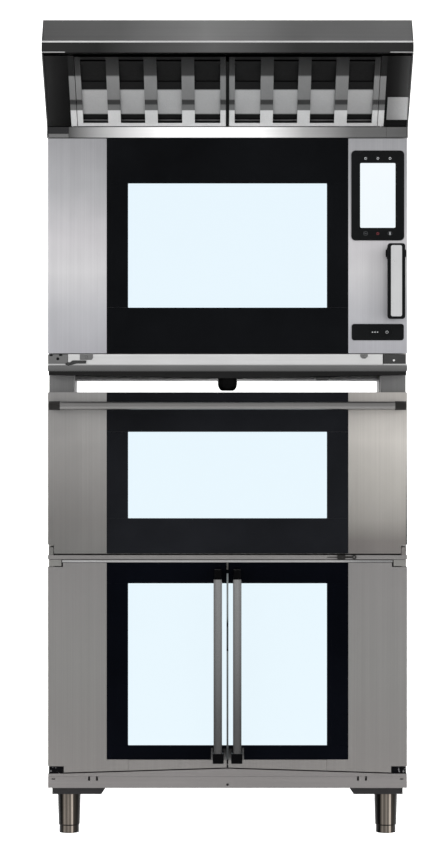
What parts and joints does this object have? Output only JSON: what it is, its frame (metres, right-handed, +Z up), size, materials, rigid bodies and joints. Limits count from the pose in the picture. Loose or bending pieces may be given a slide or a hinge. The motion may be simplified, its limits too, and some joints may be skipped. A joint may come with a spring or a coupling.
{
  "type": "bakery oven tower",
  "caption": "Bakery tower: deck oven with drop-down door between a convection oven under an extraction hood and a prover with side-hinged doors, on a legged stand",
  "frame": {"origin": "centre of the bounding box in plan, on the floor", "axes": "+Z up, the front with doors and handles faces -Y, +X to the viewer's right"},
  "size_m": [0.86, 1.14, 1.965],
  "materials": {
    "stainless_steel": "brushed",
    "galvanised": "matte",
    "dark_paint": "satin",
    "black_plastic": "satin",
    "black_glass": "polished",
    "clear_glass": "polished",
    "screen_glass": "satin",
    "rubber": "matte",
    "mineral_wool": "matte",
    "stone_sole": "matte"
  },
  "bodies": {
    "tower": {"hood_canopy": "stainless_steel", "hood_filter_frame": "dark_paint", "hood_blower_box": "stainless_steel", "hood_collar": "stainless_steel", "oven_casing": "stainless_steel", "oven_liner": "stainless_steel", "oven_baffle": "stainless_steel", "oven_heaters": "stainless_steel", "oven_fascia": "stainless_steel", "oven_drip_trough": "dark_paint", "oven_hinge_blocks": "stainless_steel", "oven_risers": "galvanised", "deck_casing": "stainless_steel", "deck_liner": "stainless_steel", "deck_stone": "stone_sole", "deck_heaters": "stainless_steel", "deck_sill": "stainless_steel", "deck_hinge_blocks": "dark_paint", "prover_casing": "stainless_steel", "prover_liner": "stainless_steel", "prover_fascia": "stainless_steel", "prover_hinge_blocks": "stainless_steel", "insulation": "mineral_wool", "door_gaskets": "rubber", "tray_racks": "stainless_steel", "fan_motors": "dark_paint", "leg_plates": "dark_paint", "leg_tubes": "stainless_steel"},
    "hood_filter_left": {"hood_filter_left": "galvanised"},
    "hood_filter_right": {"hood_filter_right": "galvanised"},
    "hood_blower_wheel": {"hood_blower_wheel": "stainless_steel"},
    "oven_fan_left": {"oven_fan_left": "stainless_steel"},
    "oven_fan_right": {"oven_fan_right": "stainless_steel"},
    "oven_door": {"oven_door_shell": "stainless_steel", "oven_door_glass": "black_glass", "oven_door_window": "clear_glass", "oven_bezels": "dark_paint", "oven_screen": "screen_glass", "oven_handle_bracket": "dark_paint"},
    "oven_handle": {"oven_handle_loop": "black_plastic", "oven_handle_face": "stainless_steel"},
    "deck_door": {"deck_door_shell": "stainless_steel", "deck_door_glass": "black_glass", "deck_door_window": "clear_glass", "deck_handle_bar": "stainless_steel", "deck_handle_ends": "black_plastic"},
    "deck_vent_lever": {"deck_vent_lever": "dark_paint"},
    "prover_fan": {"prover_fan": "stainless_steel"},
    "prover_left_door": {"prover_left_shell": "stainless_steel", "prover_left_glass": "black_glass", "prover_left_window": "clear_glass", "prover_left_handle": "stainless_steel"},
    "prover_right_door": {"prover_right_shell": "stainless_steel", "prover_right_glass": "black_glass", "prover_right_window": "clear_glass", "prover_right_handle": "stainless_steel"},
    "foot_front_left": {"foot_front_left": "stainless_steel"},
    "foot_front_right": {"foot_front_right": "stainless_steel"},
    "foot_back_left": {"foot_back_left": "stainless_steel"},
    "foot_back_right": {"foot_back_right": "stainless_steel"}
  },
  "joints": [
    {"name": "hood_filter_left_slide", "type": "slide", "parent": "tower", "child": "hood_filter_left", "axis": [0, -1, 0], "range_m": [0, 0.25]},
    {"name": "hood_filter_right_slide", "type": "slide", "parent": "tower", "child": "hood_filter_right", "axis": [0, -1, 0], "range_m": [0, 0.25]},
    {"name": "hood_blower_spin", "type": "hinge", "parent": "tower", "child": "hood_blower_wheel", "pos_m": [0, 0.38, 1.8], "axis": [0, 0, 1], "continuous": true},
    {"name": "oven_fan_left_spin", "type": "hinge", "parent": "tower", "child": "oven_fan_left", "pos_m": [-0.15, 0.28, 1.4075], "axis": [0, 1, 0], "continuous": true},
    {"name": "oven_fan_right_spin", "type": "hinge", "parent": "tower", "child": "oven_fan_right", "pos_m": [0.15, 0.28, 1.4075], "axis": [0, 1, 0], "continuous": true},
    {"name": "oven_door_swing", "type": "hinge", "parent": "tower", "child": "oven_door", "pos_m": [-0.418, -0.378, 1.403], "axis": [0, 0, -1], "range_deg": [0, 120]},
    {"name": "oven_handle_pull", "type": "hinge", "parent": "oven_door", "child": "oven_handle", "pos_m": [0.399, -0.42312, 1.383], "axis": [-1, 0, 0], "range_deg": [0, 20]},
    {"name": "deck_door_drop", "type": "hinge", "parent": "tower", "child": "deck_door", "pos_m": [0, -0.382, 0.678], "axis": [1, 0, 0], "range_deg": [0, 90]},
    {"name": "deck_vent_slide", "type": "slide", "parent": "tower", "child": "deck_vent_lever", "axis": [-1, 0, 0], "range_m": [0, 0.03]},
    {"name": "prover_fan_spin", "type": "hinge", "parent": "tower", "child": "prover_fan", "pos_m": [0, 0.48, 0.3955], "axis": [0, 1, 0], "continuous": true},
    {"name": "prover_left_swing", "type": "hinge", "parent": "tower", "child": "prover_left_door", "pos_m": [-0.418, -0.378, 0.4], "axis": [0, 0, -1], "range_deg": [0, 110]},
    {"name": "prover_right_swing", "type": "hinge", "parent": "tower", "child": "prover_right_door", "pos_m": [0.418, -0.378, 0.4], "axis": [0, 0, 1], "range_deg": [0, 110]},
    {"name": "foot_front_left_height", "type": "slide", "parent": "tower", "child": "foot_front_left", "axis": [0, 0, 1], "range_m": [-0.03, 0]},
    {"name": "foot_front_right_height", "type": "slide", "parent": "tower", "child": "foot_front_right", "axis": [0, 0, 1], "range_m": [-0.03, 0]},
    {"name": "foot_back_left_height", "type": "slide", "parent": "tower", "child": "foot_back_left", "axis": [0, 0, 1], "range_m": [-0.03, 0]},
    {"name": "foot_back_right_height", "type": "slide", "parent": "tower", "child": "foot_back_right", "axis": [0, 0, 1], "range_m": [-0.03, 0]}
  ]
}
